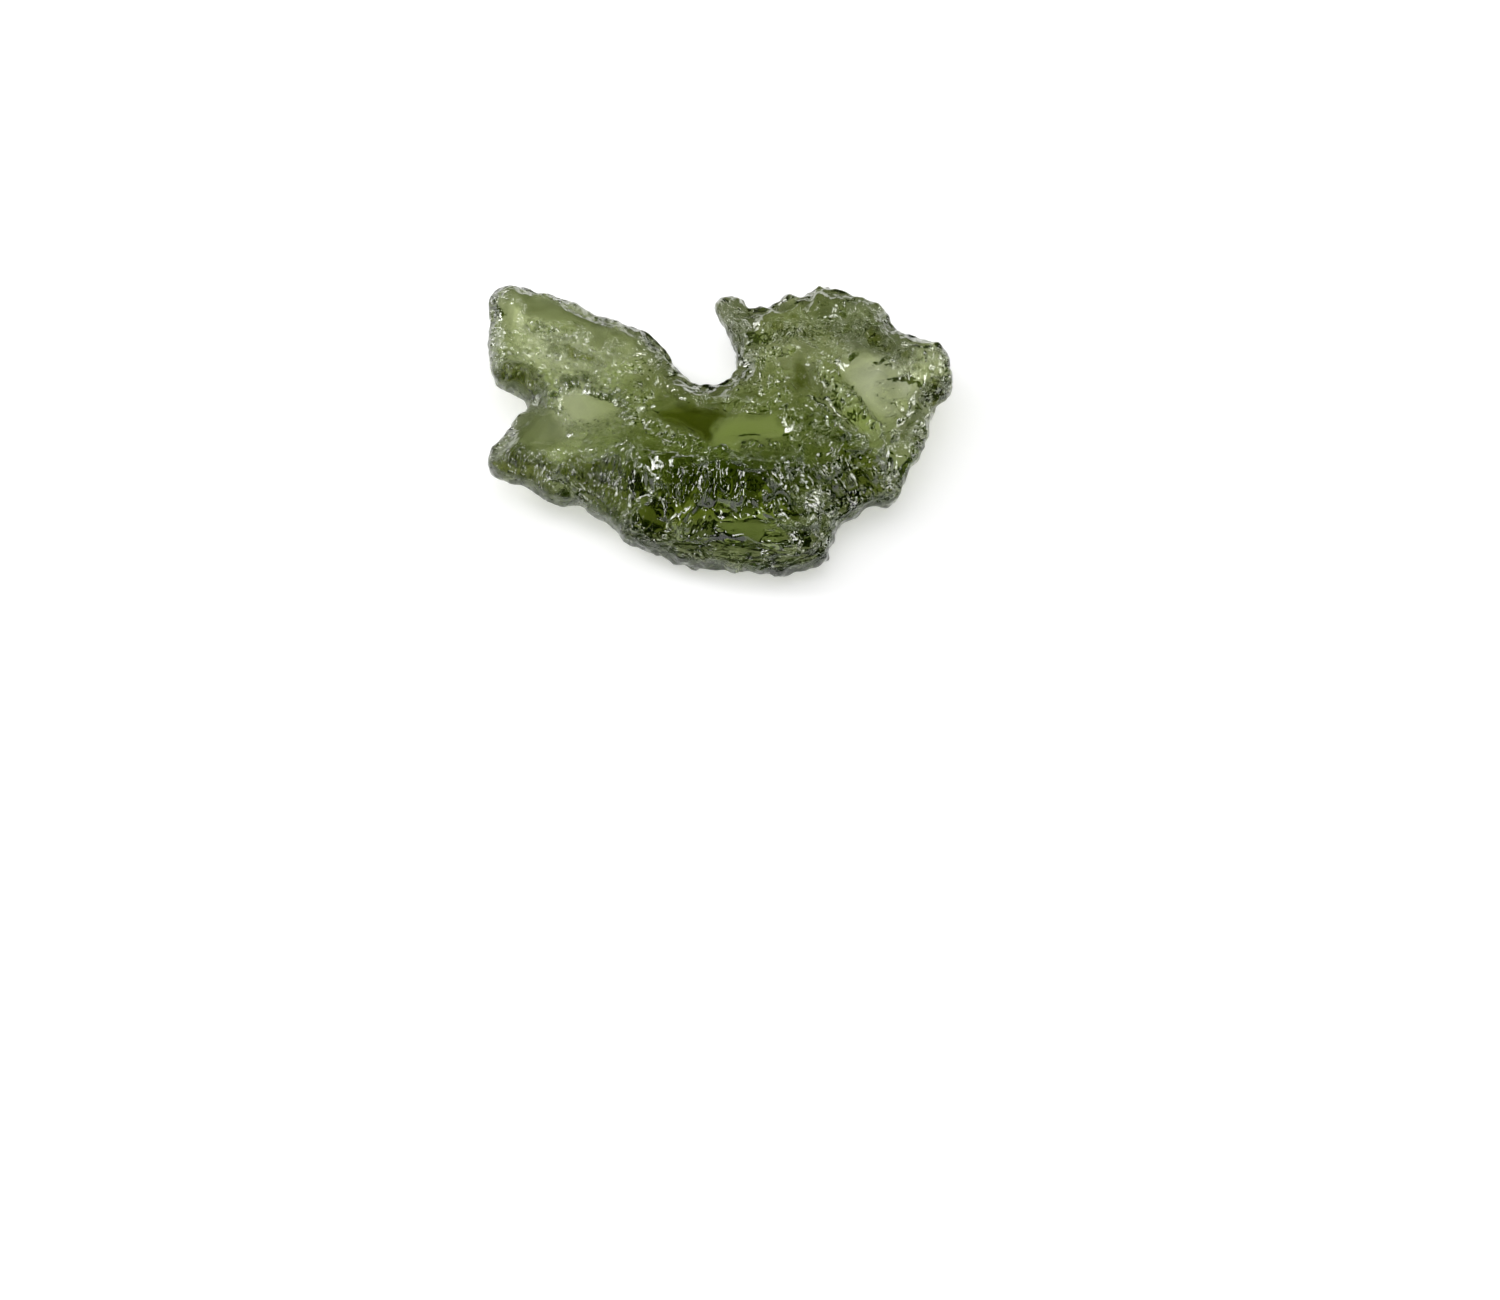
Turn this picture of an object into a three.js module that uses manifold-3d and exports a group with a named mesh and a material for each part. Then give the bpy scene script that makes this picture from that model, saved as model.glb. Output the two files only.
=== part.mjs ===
// A moldavite: one loose stone of natural green glass, winged and etched, lying flat as it does on a table.
// Units are millimetres, +Z is up, and the origin is on the resting plane under the middle of the box.
// The stone is a relief slab, raised and hollowed by named lumps and cut to the stone's outline.
import * as THREE from "three";
import { mergeVertices } from "three/addons/utils/BufferGeometryUtils.js";
import Module from "manifold-3d";

// Driving dimensions of the whole stone.
const LENGTH = 25; // longest side, along X
const DEPTH = 18.2; // along Y
const CELL = 0.47; // spacing of the relief's grid
const MARGIN = 0.8; // how far the slab runs past the outline before it is cut
const CUT_DEPTH = 12; // the cutter reaches this far up, and as far as CUT_BELOW down
const CUT_BELOW = 2;
const STEPS_PER_POINT = 2; // straight steps of the outline between two of its points

// The middle sheet of the stone, which its rim follows: it climbs to the back and to both wing tips.
const SHEET_HEIGHT = 1.7;
const SHEET_CLIMB_BACK = 0.06; // mm up per mm towards +Y
const SHEET_CURL = 0.0045; // mm up per square mm of distance from the middle

// Thickness, measured from the middle sheet to one face.
const RIM_HALF = 0.45; // at the very edge
const RIM_SLOPE_TOP = 0.9; // mm gained per mm in from the edge, at most
const RIM_SLOPE_BOTTOM = 0.6;
const WING_HALF_TOP = 0.8; // over the thin windows of the wings
const WING_HALF_BOTTOM = 0.7;
const ROLL_IN = 0.95; // the thick rolled band lies this far in from the edge
const ROLL_WIDTH = 0.6;
const ROLL_RISE = 0.45;
const ROLL_UNDER = 0.3; // share of the roll that shows underneath
const LEAST_HALF = 0.02; // outside the outline, where the slab is cut away
const BLEND = 0.35; // how softly the rim's slope runs into the faces

// The outline seen from above, clockwise from the left, in the stretches that a collector would name.
const UPPER_LEFT_LOBE = [
  [-12.45, 6.85], [-12.4, 7.85], [-12.05, 8.5], [-11.45, 8.8], [-10.9, 8.8], [-10.3, 8.55],
  [-9.55, 8.4], [-8.9, 8.05], [-8.25, 7.95], [-7.6, 7.45], [-6.4, 6.85], [-5.8, 6.75],
];
const NOTCH_LEFT_SIDE = [
  [-5.25, 6.35], [-4.65, 6.45], [-4.0, 6.1], [-3.05, 5.2], [-2.7, 4.5], [-2.3, 3.6], [-1.75, 2.95],
];
const NOTCH_FLOOR = [[-1.1, 2.55], [-0.45, 2.4], [0.15, 2.6], [0.65, 3.15]];
const NOTCH_RIGHT_SIDE = [[0.95, 3.95], [1.0, 4.85], [0.8, 5.75], [0.1, 7.25]];
const BACK_PRONG = [[-0.25, 7.85], [-0.2, 8.3], [0.1, 8.55], [0.6, 8.65], [1.0, 8.55], [1.4, 8.05]];
const BACK_RIM = [
  [1.95, 7.65], [2.5, 7.6], [3.1, 7.95], [3.6, 8.35], [4.05, 8.4], [4.5, 8.25], [4.8, 8.8],
  [5.25, 9.0], [5.85, 9.1], [6.35, 8.9], [7.5, 8.25], [8.3, 7.9], [8.9, 7.4], [9.2, 6.75],
];
const RIGHT_TIP = [
  [9.6, 6.05], [10.05, 5.65], [10.8, 5.45], [11.45, 5.1], [11.95, 4.6], [12.25, 4.05], [12.2, 3.25],
  [12.45, 1.9], [12.15, 1.6], [11.6, 1.15], [11.2, 0.45],
];
const HANGING_LOBE = [
  [11.15, -0.35], [10.8, -1.8], [10.2, -2.45], [9.95, -2.95], [9.8, -3.55], [9.1, -4.65],
];
const RIGHT_FLANK = [[8.6, -4.85], [7.9, -5.05], [6.7, -5.9], [6.3, -6.45], [5.75, -7.8], [5.55, -8.3]];
const FRONT_RIM = [
  [5.05, -8.65], [3.5, -9.05], [2.65, -9.05], [0.8, -8.85], [-1.05, -8.7], [-1.4, -8.4], [-2.1, -8.3],
  [-2.75, -7.85], [-3.6, -7.8], [-4.2, -7.5], [-4.9, -7.15], [-5.25, -6.9], [-5.3, -6.35],
];
const LOWER_LEDGE = [
  [-6.65, -5.2], [-7.15, -4.8], [-7.75, -4.7], [-8.4, -4.85], [-9.05, -4.7], [-9.5, -4.45], [-9.95, -4.0],
];
const LOWER_LEFT_PRONG = [
  [-10.55, -3.65], [-11.3, -3.5], [-11.75, -3.3], [-12.2, -2.9], [-12.25, -2.45], [-12.1, -1.9],
  [-11.35, -0.85], [-10.4, 0.75],
];
const LEFT_CLEFT = [[-10.3, 1.3], [-10.5, 1.8], [-10.85, 2.25], [-11.55, 2.5]];
const LEFT_EDGE = [[-11.95, 2.75], [-12.25, 3.5], [-12.35, 4.4], [-12.3, 5.1], [-12.45, 5.75]];
const OUTLINE = [
  UPPER_LEFT_LOBE, NOTCH_LEFT_SIDE, NOTCH_FLOOR, NOTCH_RIGHT_SIDE, BACK_PRONG, BACK_RIM, RIGHT_TIP,
  HANGING_LOBE, RIGHT_FLANK, FRONT_RIM, LOWER_LEDGE, LOWER_LEFT_PRONG, LEFT_CLEFT, LEFT_EDGE,
].flat();

// Each lump is a rounded rise, or a hollow where the rise is below zero: where it is, how far it spreads
// along its own two directions, how far it is turned (degrees), and how high it stands.
const lump = (x, y, along, across, turn, rise) => ({ x, y, along, across, turn, rise });

const TOP_LUMPS = [
  lump(0.6, -3.4, 8.2, 4.0, 0, 2.1), // the thick body
  lump(-3.6, -3.9, 2.6, 1.1, -28, 0.75), // crest, left end
  lump(0.2, -5.1, 3.4, 1.1, -7, 1.25), // crest, middle
  lump(4.6, -5.0, 3.0, 1.2, 3, 1.05), // crest, right end
  lump(-1.0, -1.6, 2.1, 1.3, 0, -0.75), // dark smooth hollow
  lump(2.5, -2.1, 1.9, 1.3, 0, -0.85), // lighter smooth hollow
  lump(-2.9, -2.9, 1.2, 0.7, -20, -0.35), // small hollow behind the crest
  lump(-0.2, 0.9, 2.6, 0.6, 0, 0.5), // ridge along the notch floor
  lump(4.7, -0.6, 1.3, 0.75, -60, 0.6), // long sparkling ridge, upper part
  lump(6.6, -2.2, 1.9, 0.8, -30, 0.8), // long sparkling ridge, lower part
  lump(6.2, 2.0, 1.9, 0.7, -68, 0.5), // second ridge, upper part
  lump(7.9, -0.6, 1.6, 0.75, -45, 0.6), // second ridge, lower part
  lump(5.5, 0.6, 2.0, 0.7, -62, -0.3), // valley between the two ridges
  lump(3.7, 1.9, 1.6, 1.3, 0, 0.45), // shoulder right of the notch
  lump(1.6, 4.8, 0.9, 2.6, 0, 0.45), // back prong's root
  lump(5.6, 6.3, 1.5, 1.3, 0, 0.7), // knob on the back rim
  lump(2.9, 6.3, 1.3, 0.9, 20, 0.35),
  lump(8.3, 6.2, 1.4, 0.9, -40, 0.5),
  lump(10.8, 3.9, 1.2, 1.0, 0, 0.5), // knob of the right tip
  lump(7.4, 2.9, 1.9, 1.5, -20, -0.3), // right window
  lump(9.9, 1.8, 0.9, 1.2, 0, -0.2),
  lump(9.9, -2.4, 0.8, 1.4, 10, 0.25), // hanging lobe
  lump(-7.6, 0.5, 2.2, 1.2, -10, -0.2), // left window
  lump(-9.8, 1.9, 2.2, 0.6, -38, 0.25), // slanting edge beside the left window
  lump(-7.4, 3.4, 3.4, 0.6, -22, -0.25), // long valley of the left wing
  lump(-8.2, 4.9, 3.0, 0.6, -24, 0.2), // fine ridge above it
  lump(-4.7, 1.8, 1.4, 1.2, 0, 0.35), // where the left wing meets the body
  lump(-11.2, -2.7, 1.0, 0.9, 0, 0.35), // tip of the lower left prong
  lump(-8.2, -2.9, 2.6, 0.5, -20, 0.3), // edge above the lower ledge
  lump(-8.2, -4.6, 1.6, 0.5, -8, -0.45), // the thin ledge itself
  lump(2.4, -8.6, 2.6, 0.7, 0, 0.25), // front rim
  lump(-3.6, -7.2, 1.4, 0.6, -28, 0.2),
];

const BOTTOM_LUMPS = [
  lump(0.8, -2.4, 5.4, 4.2, 0, 1.5), // the belly that the stone lies on
  lump(-6.0, 3.4, 2.6, 1.4, -35, 0.35), // root of the left wing
  lump(6.6, 3.6, 2.8, 2.2, 0, 0.3), // root of the right wing
  lump(-8.6, -0.6, 1.8, 1.2, 20, -0.2), // etched hollows
  lump(-9.4, 5.6, 1.9, 1.1, -20, -0.2),
  lump(9.4, 2.2, 1.4, 1.6, 0, -0.25),
  lump(4.0, 5.6, 1.4, 1.2, 0, -0.15),
  lump(-5.6, -4.8, 1.6, 0.9, -35, 0.3),
];

const outlineShape = new THREE.Shape();
outlineShape.moveTo(...OUTLINE[0]);
outlineShape.splineThru([...OUTLINE.slice(1), OUTLINE[0]].map(([x, y]) => new THREE.Vector2(x, y)));
const outlineSteps = outlineShape.getPoints(STEPS_PER_POINT);

// How far a point lies in from the outline, below zero outside it.
function inset(x, y) {
  let inside = false;
  let nearest = Infinity;
  outlineSteps.forEach((a, i) => {
    const b = outlineSteps[(i + 1) % outlineSteps.length];
    if (a.y > y !== b.y > y && x < ((b.x - a.x) * (y - a.y)) / (b.y - a.y) + a.x) inside = !inside;
    const run = b.clone().sub(a);
    const share = run.lengthSq() ? ((x - a.x) * run.x + (y - a.y) * run.y) / run.lengthSq() : 0;
    const foot = a.clone().addScaledVector(run, THREE.MathUtils.clamp(share, 0, 1));
    nearest = Math.min(nearest, Math.hypot(x - foot.x, y - foot.y));
  });
  return inside ? nearest : -nearest;
}

// The sum of a list of lumps at one place.
function raised(lumps, x, y) {
  return lumps.reduce((sum, l) => {
    const turn = THREE.MathUtils.degToRad(l.turn);
    const u = ((x - l.x) * Math.cos(turn) + (y - l.y) * Math.sin(turn)) / l.along;
    const v = ((y - l.y) * Math.cos(turn) - (x - l.x) * Math.sin(turn)) / l.across;
    return sum + l.rise * Math.exp(-u * u - v * v);
  }, 0);
}

// The smaller of two heights, with the corner between them rounded over.
function softMin(a, b, blend) {
  const overlap = Math.max(blend - Math.abs(a - b), 0) / blend;
  return Math.min(a, b) - (overlap * overlap * blend) / 4;
}

function sheetHeight(x, y) {
  return SHEET_HEIGHT + SHEET_CLIMB_BACK * y + SHEET_CURL * x * x;
}

function rimRoll(depthIn) {
  return ROLL_RISE * Math.exp(-(((depthIn - ROLL_IN) / ROLL_WIDTH) ** 2));
}

function topHeight(x, y) {
  const depthIn = inset(x, y);
  const crown = WING_HALF_TOP + rimRoll(depthIn) + raised(TOP_LUMPS, x, y);
  const rim = Math.max(RIM_HALF + RIM_SLOPE_TOP * depthIn, LEAST_HALF);
  return sheetHeight(x, y) + softMin(rim, crown, BLEND);
}

function bottomHeight(x, y) {
  const depthIn = inset(x, y);
  const belly = WING_HALF_BOTTOM + ROLL_UNDER * rimRoll(depthIn) + raised(BOTTOM_LUMPS, x, y);
  const rim = Math.max(RIM_HALF + RIM_SLOPE_BOTTOM * depthIn, LEAST_HALF);
  return Math.max(sheetHeight(x, y) - softMin(rim, belly, BLEND), 0);
}

// A box whose upper and lower faces are moved to the two reliefs.
function reliefSlab() {
  const width = LENGTH + 2 * MARGIN;
  const depth = DEPTH + 2 * MARGIN;
  const across = Math.round(width / CELL);
  const back = Math.round(depth / CELL);
  const slab = new THREE.BoxGeometry(width, depth, 1, across, back, 1);
  const position = slab.getAttribute("position");
  for (let i = 0; i < position.count; i++) {
    const heightAt = position.getZ(i) > 0 ? topHeight : bottomHeight;
    position.setZ(i, heightAt(position.getX(i), position.getY(i)));
  }
  return slab;
}

// A straight-sided block of the outline's shape, which trims the slab.
function outlineBlock() {
  const block = new THREE.ExtrudeGeometry(outlineShape, {
    depth: CUT_DEPTH + CUT_BELOW,
    bevelEnabled: false,
    curveSegments: STEPS_PER_POINT,
  });
  return block.translate(0, 0, -CUT_BELOW);
}

const wasm = await Module();
wasm.setup();

function solid(geometry) {
  geometry.deleteAttribute("normal");
  geometry.deleteAttribute("uv");
  const merged = mergeVertices(geometry);
  return new wasm.Manifold(
    new wasm.Mesh({
      numProp: 3,
      vertProperties: merged.getAttribute("position").array,
      triVerts: new Uint32Array(merged.getIndex().array),
    }),
  );
}

function stoneGeometry() {
  const mesh = solid(reliefSlab()).intersect(solid(outlineBlock())).getMesh();
  const geometry = new THREE.BufferGeometry();
  geometry.setAttribute("position", new THREE.BufferAttribute(mesh.vertProperties, 3));
  geometry.setIndex(new THREE.BufferAttribute(mesh.triVerts, 1));
  geometry.computeVertexNormals();
  return geometry;
}

const bottleGreenGlass = new THREE.MeshStandardMaterial({ color: "#5f7a2a", roughness: 0.12, metalness: 0 });

const moldavite = new THREE.Mesh(stoneGeometry(), bottleGreenGlass);
moldavite.name = "moldavite";

const stone = new THREE.Group();
stone.add(moldavite);

export default stone;
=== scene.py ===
import math

import bmesh
import bpy
import numpy as np
from mathutils import Matrix, Vector
from mathutils.kdtree import KDTree


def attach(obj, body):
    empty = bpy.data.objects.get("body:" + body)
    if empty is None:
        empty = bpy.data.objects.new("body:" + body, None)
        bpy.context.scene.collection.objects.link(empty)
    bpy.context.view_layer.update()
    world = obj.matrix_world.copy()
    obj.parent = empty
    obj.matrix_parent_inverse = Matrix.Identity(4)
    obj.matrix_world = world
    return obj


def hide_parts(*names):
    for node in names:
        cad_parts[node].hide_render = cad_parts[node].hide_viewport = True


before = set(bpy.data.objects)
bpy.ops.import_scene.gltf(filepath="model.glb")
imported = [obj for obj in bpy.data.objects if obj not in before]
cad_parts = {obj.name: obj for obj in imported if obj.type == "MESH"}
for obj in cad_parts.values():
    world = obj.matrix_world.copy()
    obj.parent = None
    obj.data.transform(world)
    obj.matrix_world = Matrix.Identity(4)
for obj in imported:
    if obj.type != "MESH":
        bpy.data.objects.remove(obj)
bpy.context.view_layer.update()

# The stone itself: one loose lump of natural green glass, thrown out molten by an impact and
# cooled in flight. Long ages in damp soil etched its skin into pits, ridges and streaks and
# thinned its wings, but left a few smooth windows. It is sculpted here in millimetres.
MM_PER_M = 1000.0
VOXEL = 0.103  # spacing of the sculpted skin
MERGE = 0.0001
SLIDE = 0.5  # how far one round of softening moves a point towards its neighbours


def skin_of(source, voxel):
    """A copy of a node's mesh in millimetres, merged and remade as an even skin of small faces."""
    bm = bmesh.new()
    bm.from_mesh(source.data)
    bmesh.ops.scale(bm, vec=(MM_PER_M,) * 3, verts=bm.verts)
    bmesh.ops.remove_doubles(bm, verts=bm.verts, dist=MERGE)
    rough = bpy.data.meshes.new("rough")
    bm.to_mesh(rough)
    bm.free()
    holder = bpy.data.objects.new("holder", rough)
    bpy.context.scene.collection.objects.link(holder)
    remesh = holder.modifiers.new("skin", "REMESH")
    remesh.mode = "VOXEL"
    remesh.voxel_size = voxel
    seen = holder.evaluated_get(bpy.context.evaluated_depsgraph_get())
    skin = bpy.data.meshes.new_from_object(seen)
    bpy.data.objects.remove(holder)
    return skin


def soften(mesh, chosen, rounds):
    """Rounds the chosen points over by sliding each towards its neighbours."""
    bm = bmesh.new()
    bm.from_mesh(mesh)
    bm.verts.ensure_lookup_table()
    verts = [bm.verts[i] for i in np.nonzero(chosen)[0]]
    for _ in range(rounds):
        bmesh.ops.smooth_vert(
            bm, verts=verts, factor=SLIDE, use_axis_x=True, use_axis_y=True, use_axis_z=True
        )
    bm.to_mesh(mesh)
    bm.free()
    mesh.update()


def places(mesh):
    co = np.empty(len(mesh.vertices) * 3)
    mesh.vertices.foreach_get("co", co)
    return co.reshape(-1, 3)


def facing(mesh):
    no = np.empty(len(mesh.vertices) * 3)
    mesh.vertex_normals.foreach_get("vector", no)
    return no.reshape(-1, 3)


def push(mesh, amount):
    """Moves every point out along its normal by its own amount, in millimetres."""
    co = places(mesh) + facing(mesh) * np.asarray(amount)[:, None]
    mesh.vertices.foreach_set("co", co.ravel())
    mesh.update()


def ease(value, low, high):
    """0 below low, 1 above high, and a smooth climb between them."""
    t = np.clip((value - low) / (high - low), 0, 1)
    return t * t * (3 - 2 * t)


HASH_AXES = np.array((73856093, 19349663, 83492791), dtype=np.uint64)
HASH_MIX = np.uint64(0x9E3779B97F4A7C15)
HASH_SHIFT = np.uint64(29)
HASH_RANGE = float(2**24)
SEED_STEP = 1013
SIDE_STEP = 7919


def dice(cells, seed, side):
    """One seeded number from 0 to 1 for each whole-numbered cell; side picks which of its numbers."""
    with np.errstate(over="ignore"):
        n = (cells.astype(np.int64).astype(np.uint64) * HASH_AXES).sum(-1)
        n = (n + np.uint64(seed * SEED_STEP + side * SIDE_STEP)) * HASH_MIX
        n = (n ^ (n >> HASH_SHIFT)) * HASH_MIX
        n ^= n >> HASH_SHIFT
    return (n % np.uint64(HASH_RANGE)).astype(float) / HASH_RANGE


def swell(points, size, seed):
    """Smooth seeded waves from -1 to 1, about size millimetres across."""
    scaled = points / size
    base = np.floor(scaled)
    part = scaled - base
    part = part * part * (3 - 2 * part)
    total = np.zeros(len(points))
    for corner in np.ndindex(2, 2, 2):
        share = np.prod(np.where(np.array(corner) == 1, part, 1 - part), axis=1)
        total += share * dice(base + corner, seed, 0)
    return 2 * total - 1


PIT_GAIN = 1.8  # brings the rims between pits to about 1


def pits(points, size, seed, sharpness=9.0):
    """Etch pits about size millimetres apart: 0 at the bottom of each, about 1 on the rims between."""
    scaled = points / size
    base = np.floor(scaled)
    near = np.zeros(len(points))
    for step in np.ndindex(3, 3, 3):
        cell = base + np.array(step) - 1
        spot = cell + np.stack([dice(cell, seed, side) for side in range(3)], axis=1)
        near += np.exp(-sharpness * np.sum((scaled - spot) ** 2, axis=1))
    return np.clip(-np.log(near + 1e-9) / sharpness * PIT_GAIN, -0.2, 1.2)


def along(points, route):
    """Distance of each point from a route seen from above, and how far along it lies from 0 to 1."""
    route = np.asarray(route, float)
    runs = np.diff(route, axis=0)
    spans = np.linalg.norm(runs, axis=1)
    starts = np.concatenate([[0], np.cumsum(spans)])
    best = np.full(len(points), np.inf)
    share = np.zeros(len(points))
    for begin, run, span, start in zip(route, runs, spans, starts):
        t = np.clip(((points[:, :2] - begin) @ run) / span**2, 0, 1)
        gap = np.linalg.norm(points[:, :2] - begin - t[:, None] * run, axis=1)
        closer = gap < best
        best = np.where(closer, gap, best)
        share = np.where(closer, (start + t * span) / starts[-1], share)
    return best, share


def stroke(points, route, width, height):
    """A ridge along a route, or a groove where height is below zero, fading out at both ends."""
    gap, share = along(points, route)
    ends = ease(share, -0.02, 0.12) * ease(1 - share, -0.02, 0.12)
    return height * np.exp(-((gap / width) ** 2)) * ends


def patch(points, x, y, wide, deep, turn=0.0):
    """1 in the middle of an oval seen from above, fading to 0 at its edge."""
    c, s = math.cos(math.radians(turn)), math.sin(math.radians(turn))
    u = ((points[:, 0] - x) * c + (points[:, 1] - y) * s) / wide
    v = ((points[:, 1] - y) * c - (points[:, 0] - x) * s) / deep
    return 1 - ease(np.hypot(u, v), 0.6, 1.15)


def within(points, outline, fade):
    """1 inside an outline seen from above and 0 outside it, with a soft border."""
    gap, _ = along(points, outline + outline[:1])
    inside = np.zeros(len(points), bool)
    for (x0, y0), (x1, y1) in zip(outline, outline[1:] + outline[:1]):
        beside = (y0 > points[:, 1]) != (y1 > points[:, 1])
        with np.errstate(divide="ignore", invalid="ignore"):
            crossing = points[:, 0] < x0 + (points[:, 1] - y0) * (x1 - x0) / (y1 - y0)
        inside ^= beside & crossing
    return ease(np.where(inside, gap, -gap), -fade, fade)


def from_rim(points, normals):
    """How far in from the stone's outer rim each point lies, seen from above."""
    rim = np.nonzero(np.abs(normals[:, 2]) < 0.3)[0]
    tree = KDTree(len(rim))
    for number, index in enumerate(rim):
        tree.insert((points[index, 0], points[index, 1], 0), number)
    tree.balance()
    return np.array([tree.find((x, y, 0))[2] for x, y, _ in points])


SKIN_ROUNDS = 8
WALL_ROUNDS = 22
stone_mesh = skin_of(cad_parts["moldavite"], VOXEL)
soften(stone_mesh, np.ones(len(stone_mesh.vertices), bool), SKIN_ROUNDS)
# The straight wall of the rim is rounded over, which draws it in, and then moved back out.
wall = 1 - ease(np.abs(facing(stone_mesh)[:, 2]), 0.5, 0.9)
soften(stone_mesh, wall > 0.3, WALL_ROUNDS)
push(stone_mesh, 0.09 * wall)

form = places(stone_mesh)  # where each point was before the fine work, all of which is laid out on it
lean = facing(stone_mesh)
top = ease(lean[:, 2], 0.0, 0.4)
under = ease(-lean[:, 2], 0.0, 0.4)
edge = 1 - ease(np.abs(lean[:, 2]), 0.2, 0.7)
inset = from_rim(form, lean)
left_wing = ease(-form[:, 0], 3.6, 6.0)
none = np.zeros(len(form))

# Ridges and grooves of the upper side: route as seen from above, width, height.
UPPER_STROKES = [
    ([(4.3, 1.0), (4.9, 0.5), (5.4, -0.3), (5.8, -1.8), (6.2, -2.3), (7.3, -2.7), (8.0, -2.9)], 0.42, 0.45),
    ([(5.5, 4.3), (5.9, 3.1), (6.3, 2.1), (6.8, 1.2), (7.3, 0.1), (7.8, -0.9), (8.9, -1.6)], 0.38, 0.38),
    ([(4.7, 4.3), (4.9, 2.7), (5.4, 1.5), (6.1, 0.3), (6.8, -0.9), (7.8, -2.1)], 0.4, -0.4),
    ([(-1.6, 0.9), (-0.7, 0.7), (0.1, 0.5), (1.0, 0.6), (1.6, 0.3), (2.4, 0.4), (3.2, 0.7), (4.1, 0.8)],
     0.3, 0.28),
    ([(3.3, 0.5), (3.5, -0.2), (4.0, -0.9), (4.4, -1.2)], 0.28, 0.28),
    ([(4.3, -1.9), (4.5, -2.7), (4.3, -3.8), (3.7, -4.5)], 0.3, 0.3),
    ([(-3.9, -0.5), (-3.4, -1.3), (-2.9, -2.0), (-2.1, -2.6), (-1.0, -2.9), (-0.2, -3.8), (0.6, -4.5)],
     0.36, 0.36),
    ([(-2.5, -1.9), (-2.1, -1.3), (-1.6, -1.7), (-1.7, -2.8), (-2.3, -2.7), (-2.5, -1.9)], 0.2, 0.2),
    ([(-3.5, 1.8), (-4.0, 1.2), (-4.5, 0.5), (-4.6, -0.1), (-4.0, -0.4)], 0.34, 0.32),
    ([(1.3, -2.8), (1.9, -2.2), (2.7, -2.5), (3.4, -2.0)], 0.4, 0.22),
    ([(1.7, 3.2), (2.3, 3.7), (3.0, 4.4), (4.0, 4.5)], 0.32, 0.28),
    ([(2.4, 1.0), (2.8, 1.7), (3.2, 2.3), (3.4, 3.2)], 0.3, 0.25),
    ([(11.0, 2.7), (10.7, 1.6), (10.4, 0.7), (10.2, -0.2), (9.7, -1.3)], 0.42, -0.3),
    ([(6.6, 7.0), (7.0, 6.0), (7.4, 5.2), (8.4, 4.6), (9.3, 4.1), (10.3, 3.5), (11.6, 3.6)], 0.4, -0.32),
    ([(8.9, 7.0), (9.3, 5.3), (9.8, 4.3), (10.7, 3.8)], 0.35, -0.22),
    ([(-11.0, 5.9), (-10.3, 5.7), (-9.4, 5.2), (-8.6, 5.6), (-7.7, 5.1), (-6.7, 4.5), (-4.0, 4.1)],
     0.34, -0.34),
    ([(-11.6, 4.1), (-10.5, 4.6), (-9.4, 4.5), (-8.5, 4.7), (-7.7, 4.6)], 0.24, 0.2),
    ([(-10.4, 3.2), (-9.6, 2.4), (-9.0, 1.6), (-8.5, 1.0)], 0.22, 0.34),
    ([(-11.5, 2.5), (-10.5, 1.8), (-9.6, 0.7), (-9.0, 0.0)], 0.45, -0.34),
    ([(-6.4, 2.1), (-5.8, 2.7), (-5.3, 3.4), (-4.6, 3.4), (-4.0, 3.7)], 0.35, 0.25),
    ([(-9.1, -3.9), (-8.1, -4.1), (-7.6, -4.5), (-6.9, -5.0), (-6.1, -5.7), (-5.3, -6.4)], 0.2, 0.2),
    ([(-1.6, -8.3), (-0.4, -8.2), (1.1, -8.3), (2.0, -8.6), (2.4, -8.9), (3.4, -9.1)], 0.3, -0.25),
]
# The boldest streaks of the front flank, each from its upper to its lower end.
FLANK_STREAKS = [
    ((-1.9, -4.7), (-2.1, -6.2)),
    ((-0.4, -5.0), (-0.7, -6.6)),
    ((1.2, -5.1), (1.0, -6.6)),
    ((-2.7, -6.0), (-2.9, -6.9)),
    ((-4.2, -6.0), (-4.6, -7.2)),
    ((2.6, -5.6), (4.1, -6.4)),
    ((2.7, -6.5), (3.7, -7.4)),
    ((6.7, -4.3), (7.1, -4.7)),
    ((-5.8, -4.8), (-6.1, -5.3)),
]
STREAK_WIDTH = 0.2
STREAK_HEIGHT = 0.26
CREST_WIDTH = 0.5
carved = sum(stroke(form, route, width, height) for route, width, height in UPPER_STROKES)
carved = carved + sum(stroke(form, route, STREAK_WIDTH, STREAK_HEIGHT) for route in FLANK_STREAKS)
push(stone_mesh, carved * top)
crests = sum(stroke(form, route, CREST_WIDTH, 1) for route, width, height in UPPER_STROKES if height > 0)
crests = np.clip(crests, 0, 1)

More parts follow.
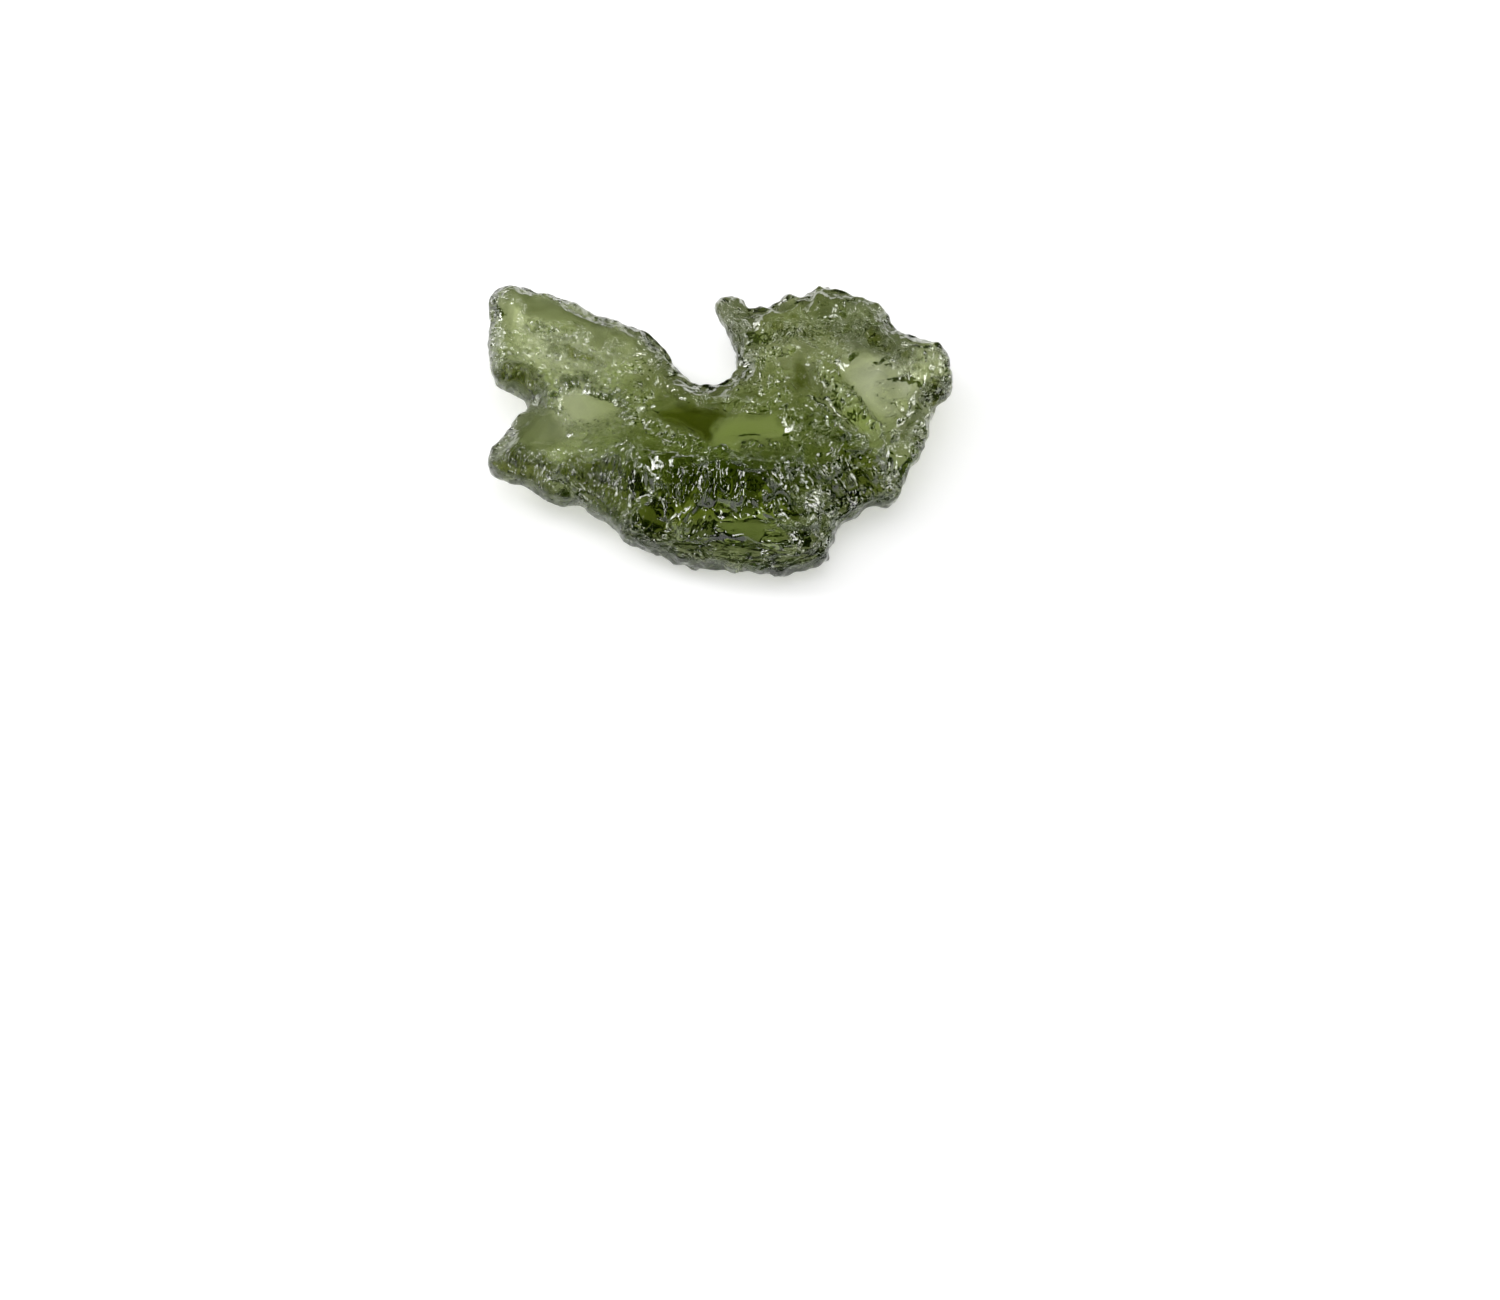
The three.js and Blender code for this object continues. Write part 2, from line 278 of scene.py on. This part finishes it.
# Smooth windows of the upper side, where the etching hardly bit: the outline of each as seen from
# above, how deep it is sunk, how deep its green is, and how much painted shade its skin gets (below zero,
# painted light).
UPPER_WINDOWS = [
    ([(0.5, -0.4), (1.4, -0.1), (2.8, -0.1), (3.6, -0.7), (3.9, -1.5), (3.5, -2.0), (1.4, -2.0),
      (1.1, -2.8), (0.3, -3.5), (-0.5, -3.4), (-0.7, -2.3), (-0.2, -1.2)], 0.3, 0.0, -0.2),
    ([(-3.4, 0.1), (-1.8, 0.5), (0.2, 0.4), (0.6, -0.2), (-0.2, -1.2), (-0.7, -2.3), (-1.3, -1.5),
      (-2.7, -0.8), (-3.6, -0.4)], 0.25, 1.0, 0.1),
    ([(-4.2, -1.8), (-3.4, -2.6), (-2.4, -3.6), (-1.1, -4.1), (-1.1, -4.7), (-3.0, -4.6), (-4.0, -3.6)],
     0.2, 0.8, 0.1),
    ([(6.3, 3.3), (6.9, 4.1), (7.7, 4.3), (8.6, 4.1), (8.8, 3.3), (8.4, 1.6), (9.1, 0.0), (8.9, -1.0),
      (8.2, -1.1), (7.6, 0.5), (7.2, 1.8), (6.6, 2.6)], 0.25, 0.0, -0.2),
    ([(9.7, 3.1), (10.4, 2.9), (10.4, 1.9), (10.2, 0.8), (9.7, 1.2), (9.6, 2.2)], 0.15, 0.0, 0.0),
    ([(-8.7, 1.2), (-7.9, 1.6), (-6.9, 1.6), (-5.7, 1.1), (-5.3, 0.5), (-5.6, -0.2), (-6.7, -0.5),
      (-7.8, -0.7), (-8.2, 0.1)], 0.15, 0.0, -0.1),
    ([(-10.3, 0.9), (-9.1, 0.1), (-8.4, -1.2), (-8.7, -2.4), (-9.8, -2.8), (-10.9, -2.4), (-11.4, -1.7)],
     0.1, 0.1, 0.6),
    ([(-12.1, 7.5), (-10.9, 7.3), (-11.0, 5.9), (-11.6, 5.4), (-12.1, 6.0)], 0.1, 0.0, 0.0),
    ([(-9.2, -4.2), (-7.8, -4.4), (-6.9, -5.0), (-8.2, -5.0)], 0.0, 0.2, 0.0),
    ([(0.2, -6.7), (2.4, -6.9), (2.9, -8.0), (1.6, -8.2), (0.2, -7.9), (-0.2, -7.2)], 0.05, 0.3, 0.0),
    ([(8.8, -2.2), (10.3, -1.7), (10.4, -2.3), (9.9, -3.3), (9.2, -3.6), (8.8, -3.1)], 0.1, 0.0, -0.1),
    ([(3.8, 3.9), (4.5, 4.0), (4.8, 2.9), (4.8, 1.7), (4.0, 1.2), (3.7, 2.3)], 0.2, 0.9, 0.25),
    ([(-11.4, 8.0), (-9.5, 7.3), (-7.9, 6.8), (-5.9, 5.6), (-4.3, 5.0), (-3.5, 4.2), (-5.5, 4.8),
      (-7.0, 5.2), (-8.6, 6.0), (-10.3, 6.2)], -0.12, 0.3, 0.5),
]
WINDOW_FADE = 0.4
SINK_FADE = 0.6
# The steep front flank, whose upper border wavers.
waver = 0.16 * swell(form, 1.1, 31) + 0.1 * swell(form, 0.5, 32)
front = ease(waver - lean[:, 1], 0.22, 0.5) * top * ease(form[:, 2], 1.3, 2.4)
# The underside is as clear and as green as the spot on top that it is seen through, for an eye that
# looks down at a slant from the front: that spot lies nearer to the front where the stone is thick.
sight = 0.7 + 0.8 * patch(form, 0, -2, 8, 6)
seen_at = form - np.stack([none, under * sight, none], axis=1)
seen_at += np.stack([swell(form, 0.8, seed) for seed in (14, 15, 16)], axis=1) * 0.3
# How clear the skin is, how much deeper its green is, and how much painted shade it gets, before the
# windows.
clear = none.copy()
body = 1 - left_wing - 0.7 * ease(form[:, 0], 5.0, 7.5)
# A deeper green is laid on the middle and, as painted shade, on the front-facing flank and on the underside
# seen through it.
deep = np.maximum(np.maximum(front, 0.5 * patch(seen_at, 0, -5.6, 7.0, 1.8) * under), 0.6 * body)
deep *= 1 - 0.5 * patch(form, 1.4, -8.0, 4.5, 1.2)
# Painted shade on the top right rim and on a spot at the back, and less painted shade on the right rim.
painted_shade_patches = 0.7 * patch(seen_at, 8.0, 6.2, 3.6, 1.9, -25) - 0.3 * patch(seen_at, 12.0, 2.6, 1.8, 2.6)
painted_shade_patches += 0.6 * patch(seen_at, 0.6, 6.6, 1.2, 2.6)
for outline, sunk, green, painted_window_shade in UPPER_WINDOWS:
    push(stone_mesh, -sunk * within(form, outline, SINK_FADE) * top)
    window = within(seen_at, outline, WINDOW_FADE)
    clear = np.maximum(clear, window)
    deep = np.maximum(deep * (1 - window), green * window)
    painted_shade_patches += painted_window_shade * window
# Under the pale wings and the palest part of the middle, the underside is hollowed too.
pale = patch(form, -7.6, 1.0, 3.2, 2.6) + patch(form, 8.4, 1.6, 2.6, 3.0)
pale += patch(form, 2.6, -1.0, 2.1, 1.6)
push(stone_mesh, -0.3 * np.clip(pale, 0, 1) * under)

# The etching follows the flow lines that the glass froze with: they run down the front flank, so
# that the pits there are drawn out into streaks, which lean outwards at both ends of it.
FLANK_TOP = np.array((0, -4.4, 4.4))
DRAWN_OUT = 0.68
slant = front * (0.25 - 1.0 * ease(form[:, 0], -1.0, 5.0))
shrink = 1 - DRAWN_OUT * front
flow = FLANK_TOP + (form - FLANK_TOP) * np.stack([none + 1, shrink, shrink], axis=1)
flow[:, 0] -= slant * (form[:, 1] - FLANK_TOP[1])
flow += np.stack([swell(form, 2.6, seed) for seed in (11, 12, 13)], axis=1) * 0.45

# Etch pits, coarse and fine. They are soft on the left wing and deep in the middle and on the right.
bite = 1 - 0.92 * clear
sharp = bite * (1 - 0.75 * left_wing) * (1 - 0.6 * edge)
coarse = pits(flow, 0.75, 22)
push(stone_mesh, sharp * 0.26 * (pits(flow, 1.6, 21) - 0.62))
push(stone_mesh, sharp * (0.18 + 0.16 * front) * (coarse - 0.55))
mottle = 0.7 * swell(form, 1.3, 25) + 0.5 * swell(form, 0.7, 26) + 0.15 * swell(form, 0.4, 27)
push(stone_mesh, bite * left_wing * (1 - 0.8 * edge) * 0.2 * mottle)

# Lumps along the outer rim. The rim round the notch at the back stayed smooth.
notch = ease(form[:, 0], -6.0, -4.5) * ease(-form[:, 0], -1.6, -1.2) * ease(form[:, 1], 1.5, 2.5)
rim_band = 1 - ease(inset, 0.4, 1.4)
lumps = 0.16 * swell(form, 1.3, 28) + 0.1 * swell(form, 0.65, 29)
push(stone_mesh, rim_band * (1 - 0.85 * notch) * lumps)

# Sparkling grit, gathered on the crests, on the backs of the streaks and in loose clusters.
clusters = ease(swell(form, 1.0, 41), 0.0, 0.35) * (1 - left_wing) * (1 - front)
grit = bite * np.clip(crests * top + 0.8 * front * ease(coarse, 0.45, 0.85) + 0.4 * clusters, 0, 1)
# The grit away from the front flank is painted a paler green, as a painted highlight.
deep *= 1 - 0.75 * grit * (1 - front)
beads = pits(0.6 * form + 0.4 * flow, 0.42, 23, 7.0)
push(stone_mesh, (1 - 0.5 * edge) * (0.06 * bite + 0.24 * grit + 0.08 * edge) * (beads - 0.5))

soften(stone_mesh, edge > 0.35, 1)
push(stone_mesh, 0.03 * edge)

# The table keeps the underside flat where it rests, and the tallest tips are pressed down softly.
HIGHEST = 5.42
PRESS = 0.2
co = places(stone_mesh)
co[:, 2] = np.clip(co[:, 2], 0, None)
low_tip = HIGHEST - PRESS
pressed = HIGHEST - PRESS * np.exp((low_tip - co[:, 2]) / PRESS)
co[:, 2] = np.where(co[:, 2] > low_tip, pressed, co[:, 2])
stone_mesh.vertices.foreach_set("co", co.ravel())
stone_mesh.update()

# What the glass reads off the skin: how etched, how frosted, how much painted shade or painted light it
# carries, and how deep a green it is.
etch= np.clip(bite * (0.2 + 0.4 * left_wing) + 0.9 * grit, 0, 1)
frost = np.clip(0.06 + bite * (0.2 + 0.6 * left_wing) + 0.3 * edge - 0.15 * front, 0, 1)
raised = np.sum((places(stone_mesh) - form) * lean, axis=1)  # how far the fine work lifted each point
# Painted shade: the rim band, the steep walls, the front flank and the pits are darkened, and raised points
# and the grit are painted lighter, as painted highlights.
front_rim = ease(-form[:, 1], 4.0, 6.0)
painted_rim_shade = (1 - ease(inset, 0.9, 1.5)) * (1 - 0.6 * front_rim)
painted_wall_shade = edge * (1 - 0.8 * front_rim)
# The steep walls get a deeper green too, as painted shade.
deep = np.maximum(deep, 0.45 * painted_wall_shade)
painted_shade_and_tone = 0.12 + 0.55 * painted_rim_shade + 0.3 * front + bite * 0.12 + 0.1 * painted_wall_shade - 0.9 * raised - 0.3 * grit
# Random flecks vary the tone, and the left end of the front flank gets less painted shade.
flecks = swell(form, 0.5, 33) + 0.6 * swell(form, 0.25, 34)
painted_shade_and_tone += bite * (0.16 + 0.14 * left_wing) * flecks - 0.25 * patch(form, -4.6, -5.0, 2.4, 1.8, -30)
painted_shade_and_tone = np.clip(painted_shade_and_tone + painted_shade_patches, 0, 1)
for name, values in (("etch", etch), ("frost", frost), ("painted_shade_and_tone", painted_shade_and_tone), ("deep", deep)):
    stone_mesh.attributes.new(name, "FLOAT", "POINT").data.foreach_set("value", values)
stone_mesh.attributes.new("flow", "FLOAT_VECTOR", "POINT").data.foreach_set("vector", flow.ravel())

stone_mesh.transform(Matrix.Scale(1 / MM_PER_M, 4))
stone = bpy.data.objects.new("moldavite_stone", stone_mesh)
bpy.context.scene.collection.objects.link(stone)
stone_mesh.polygons.foreach_set("use_smooth", [True] * len(stone_mesh.polygons))


def glass_material():
    """Clear bottle-green glass. Absorption makes thin wings pale; a tint painted on the skin adds painted
    shade, lighter crests and a deeper green.
    """
    material = bpy.data.materials.new("tektite_glass")
    material.use_nodes = True
    nodes, links = material.node_tree.nodes, material.node_tree.links
    nodes.clear()
    out = nodes.new("ShaderNodeOutputMaterial")
    surface = nodes.new("ShaderNodeBsdfPrincipled")
    surface.inputs["Base Color"].default_value = (1, 1, 1, 1)
    surface.inputs["Transmission Weight"].default_value = 1
    surface.inputs["IOR"].default_value = 1.49
    # Fresh glass at the tips of the etching flashes sharply, though the skin as a whole is frosted.
    surface.inputs["Coat Weight"].default_value = 0.8
    surface.inputs["Coat IOR"].default_value = 1.49
    surface.inputs["Coat Roughness"].default_value = 0.04
    inside = nodes.new("ShaderNodeVolumeAbsorption")
    inside.inputs["Color"].default_value = (0.643, 0.714, 0.286, 1)
    inside.inputs["Density"].default_value = 860
    links.new(surface.outputs["BSDF"], out.inputs["Surface"])
    links.new(inside.outputs["Volume"], out.inputs["Volume"])

    where = nodes.new("ShaderNodeAttribute")
    where.attribute_name = "flow"
    etched = nodes.new("ShaderNodeAttribute")
    etched.attribute_name = "etch"

    # The skin's tint: painted shade, which greys and darkens the glass, and a deeper green, which is
    # painted shade on the front flank and the walls.
    skin = None
    for name, dark in (("painted_shade_and_tone", (0.30, 0.315, 0.27, 1)), ("deep", (0.28, 0.31, 0.05, 1))):
        amount = nodes.new("ShaderNodeAttribute")
        amount.attribute_name = name
        mix = nodes.new("ShaderNodeMix")
        mix.data_type = "RGBA"
        mix.blend_type = "MULTIPLY"
        links.new(amount.outputs["Fac"], mix.inputs["Factor"])
        if skin is None:
            mix.inputs["A"].default_value = (1, 1, 1, 1)
        else:
            links.new(skin, mix.inputs["A"])
        mix.inputs["B"].default_value = dark
        skin = mix.outputs["Result"]
    links.new(skin, surface.inputs["Base Color"])

    grain = nodes.new("ShaderNodeTexNoise")
    grain.inputs["Scale"].default_value = 4.5
    grain.inputs["Detail"].default_value = 2
    links.new(where.outputs["Vector"], grain.inputs["Vector"])
    pocks = nodes.new("ShaderNodeTexVoronoi")
    pocks.inputs["Scale"].default_value = 6.5
    links.new(where.outputs["Vector"], pocks.inputs["Vector"])
    relief = nodes.new("ShaderNodeMath")
    relief.operation = "ADD"
    links.new(grain.outputs["Fac"], relief.inputs[0])
    links.new(pocks.outputs["Distance"], relief.inputs[1])
    depth = nodes.new("ShaderNodeMapRange")
    depth.inputs["To Min"].default_value = 0.03
    depth.inputs["To Max"].default_value = 0.9
    links.new(etched.outputs["Fac"], depth.inputs["Value"])
    bump = nodes.new("ShaderNodeBump")
    bump.inputs["Distance"].default_value = 0.00003
    links.new(relief.outputs["Value"], bump.inputs["Height"])
    links.new(depth.outputs["Result"], bump.inputs["Strength"])

    # Where the etching bit, the skin is a patchwork of fine facets, each tilted its own way.
    facets = nodes.new("ShaderNodeTexVoronoi")
    facets.inputs["Scale"].default_value = 5.0
    links.new(where.outputs["Vector"], facets.inputs["Vector"])
    apart = nodes.new("ShaderNodeVectorMath")
    apart.operation = "SUBTRACT"
    links.new(where.outputs["Vector"], apart.inputs[0])
    links.new(facets.outputs["Position"], apart.inputs[1])
    tilt = nodes.new("ShaderNodeVectorMath")
    tilt.operation = "SUBTRACT"
    links.new(facets.outputs["Color"], tilt.inputs[0])
    tilt.inputs[1].default_value = (0.5, 0.5, 0.5)
    climb = nodes.new("ShaderNodeVectorMath")
    climb.operation = "DOT_PRODUCT"
    links.new(apart.outputs["Vector"], climb.inputs[0])
    links.new(tilt.outputs["Vector"], climb.inputs[1])
    facet_bump = nodes.new("ShaderNodeBump")
    facet_bump.inputs["Distance"].default_value = 0.0014
    links.new(climb.outputs["Value"], facet_bump.inputs["Height"])
    links.new(depth.outputs["Result"], facet_bump.inputs["Strength"])
    links.new(bump.outputs["Normal"], facet_bump.inputs["Normal"])
    links.new(facet_bump.outputs["Normal"], surface.inputs["Normal"])
    links.new(facet_bump.outputs["Normal"], surface.inputs["Coat Normal"])

    frosted = nodes.new("ShaderNodeAttribute")
    frosted.attribute_name = "frost"
    frost = nodes.new("ShaderNodeMath")
    frost.operation = "MULTIPLY"
    links.new(grain.outputs["Fac"], frost.inputs[0])
    links.new(frosted.outputs["Fac"], frost.inputs[1])
    dullness = nodes.new("ShaderNodeMapRange")
    dullness.inputs["To Min"].default_value = 0.04
    dullness.inputs["To Max"].default_value = 0.65
    links.new(frost.outputs["Value"], dullness.inputs["Value"])
    links.new(dullness.outputs["Result"], surface.inputs["Roughness"])
    return material


stone_mesh.materials.clear()
stone_mesh.materials.append(glass_material())
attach(stone, "root")
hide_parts("moldavite")

# The table: a plain white sheet under soft light. It glows a little, as a light table does, so that
# light also comes up through the glass. A ring of small lamps lights nothing but the glints.
FLOOR_SIZE = 4.0
bm = bmesh.new()
bmesh.ops.create_grid(bm, x_segments=1, y_segments=1, size=FLOOR_SIZE / 2)
floor_mesh = bpy.data.meshes.new("floor")
bm.to_mesh(floor_mesh)
bm.free()
floor = bpy.data.objects.new("floor", floor_mesh)
bpy.context.scene.collection.objects.link(floor)
floor_material = bpy.data.materials.new("white_sheet")
floor_material.use_nodes = True
sheet = floor_material.node_tree.nodes["Principled BSDF"]
sheet.inputs["Base Color"].default_value = (0.85, 0.85, 0.85, 1)
sheet.inputs["Roughness"].default_value = 0.9
sheet.inputs["Emission Color"].default_value = (1, 1, 1, 1)
sheet.inputs["Emission Strength"].default_value = 0.4
floor_mesh.materials.append(floor_material)

scene = bpy.context.scene
world = bpy.data.worlds.new("studio")
scene.world = world
world.use_nodes = True
world.node_tree.nodes["Background"].inputs["Color"].default_value = (1, 1, 1, 1)
world.node_tree.nodes["Background"].inputs["Strength"].default_value = 0.45
world.cycles_visibility.glossy = False


def softbox(name, place, size, brightness, glints=True, lights_sheet=True):
    """A square lamp that faces the stone; brightness is how bright its face looks beside the sheet."""
    lamp = bpy.data.lights.new(name, "AREA")
    lamp.shape = "SQUARE"
    lamp.size = size
    lamp.energy = brightness * math.pi * size**2
    lamp_object = bpy.data.objects.new(name, lamp)
    lamp_object.location = place
    lamp_object.rotation_euler = (-Vector(place)).to_track_quat("-Z", "Y").to_euler()
    lamp_object.visible_glossy = glints
    lamp_object.visible_diffuse = lights_sheet
    lamp_object.visible_transmission = lights_sheet
    scene.collection.objects.link(lamp_object)


softbox("ceiling", (-0.06, 0.06, 0.32), 0.6, 0.7, glints=False)
softbox("key", (-0.28, 0.10, 0.20), 0.11, 8)
for side, place, size, brightness in (
    ("left_back", (-0.28, 0.16, 0.10), 0.08, 9),
    ("left_low", (-0.30, -0.08, 0.13), 0.07, 10),
    ("left_front", (-0.18, -0.24, 0.17), 0.07, 10),
    ("front", (-0.02, -0.32, 0.12), 0.05, 9),
    ("right_front", (0.18, -0.24, 0.17), 0.05, 10),
    ("left_above", (-0.22, 0.02, 0.26), 0.06, 12),
    ("right_above", (0.22, 0.02, 0.26), 0.06, 12),
    ("left_high", (-0.24, 0.13, 0.19), 0.06, 14),
    ("right_far", (0.24, 0.13, 0.19), 0.06, 14),
    ("right_low", (0.30, -0.08, 0.13), 0.07, 10),
    ("right_high", (0.27, 0.05, 0.20), 0.08, 12),
    ("right_back", (0.28, 0.16, 0.10), 0.08, 9),
):
    softbox("glint_" + side, place, size, brightness, lights_sheet=False)

camera_data = bpy.data.cameras.new("camera")
camera_data.lens = 147
camera_data.sensor_width = 36
camera_data.clip_start = 0.01
camera = bpy.data.objects.new("camera", camera_data)
camera.location = (0.001614, -0.203389, 0.260040)
camera.rotation_euler = (math.radians(90 - 53.842), 0, 0)
scene.collection.objects.link(camera)
scene.camera = camera

scene.view_settings.view_transform = "Standard"
scene.cycles.max_bounces = 24
scene.cycles.transmission_bounces = 20
scene.cycles.glossy_bounces = 8
scene.cycles.diffuse_bounces = 3
scene.cycles.caustics_refractive = True
scene.cycles.caustics_reflective = True
scene.cycles.use_denoising = True
